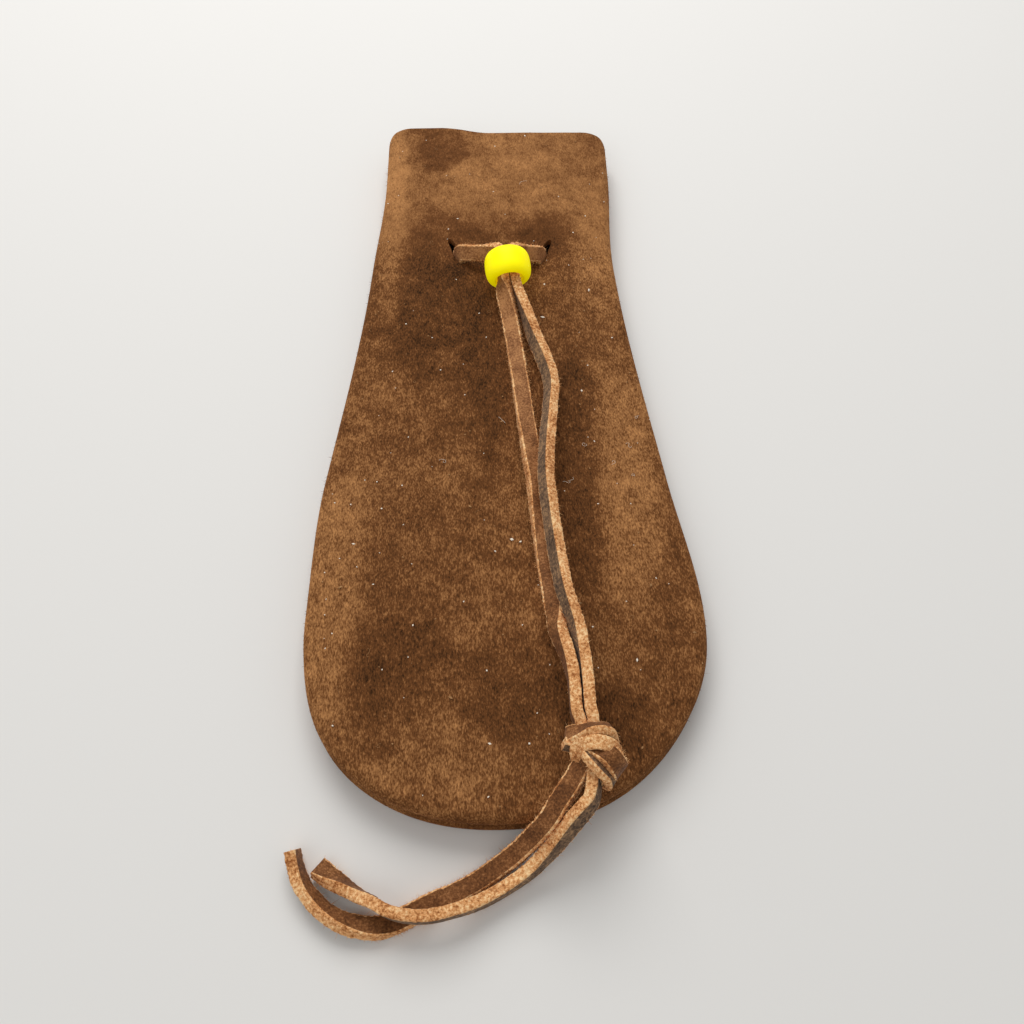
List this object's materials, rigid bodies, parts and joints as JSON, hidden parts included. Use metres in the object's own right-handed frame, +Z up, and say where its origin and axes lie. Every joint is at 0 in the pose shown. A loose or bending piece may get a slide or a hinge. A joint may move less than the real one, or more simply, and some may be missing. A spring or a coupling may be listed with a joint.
{
  "type": "beaded medicine bag",
  "caption": "Flat suede drawstring pouch with a slotted neck, a leather lace through a sliding bead, a knot and two loose tails.",
  "frame": {"origin": "on the ground, under the middle of the flat bag, without the lace and what is on it", "axes": "+Y from the round bottom to the mouth, +Z up from the back panel to the front panel, +X to the right as the mouth points away"},
  "size_m": [0.0669, 0.1681, 0.0172],
  "materials": {
    "dark_brown_suede": "dark brown napped suede with a mottled nap, lint and a turned seam edge",
    "dark_brown_suede_back": "dark brown napped suede, the same hide as the front",
    "brown_suede_lace": "flat suede lace, brown grain side, grey-brown flesh side and pale fuzzy cut edges",
    "opaque_yellow_plastic": "smooth opaque yellow moulded plastic"
  },
  "bodies": {
    "bag": {"front_panel": "dark_brown_suede", "back_panel": "dark_brown_suede_back", "lace_loop": "brown_suede_lace", "lace_strand_left": "brown_suede_lace", "lace_strand_right": "brown_suede_lace", "lace_tail_left": "brown_suede_lace", "lace_tail_right": "brown_suede_lace", "knot": "brown_suede_lace"},
    "bead": {"bead": "opaque_yellow_plastic"}
  },
  "joints": [
    {"name": "bead_slide", "type": "slide", "parent": "bag", "child": "bead", "axis": [0.1132, -0.9936, 0], "range_m": [0, 0.086], "deforming": ["lace_strand_left", "lace_strand_right"]}
  ]
}
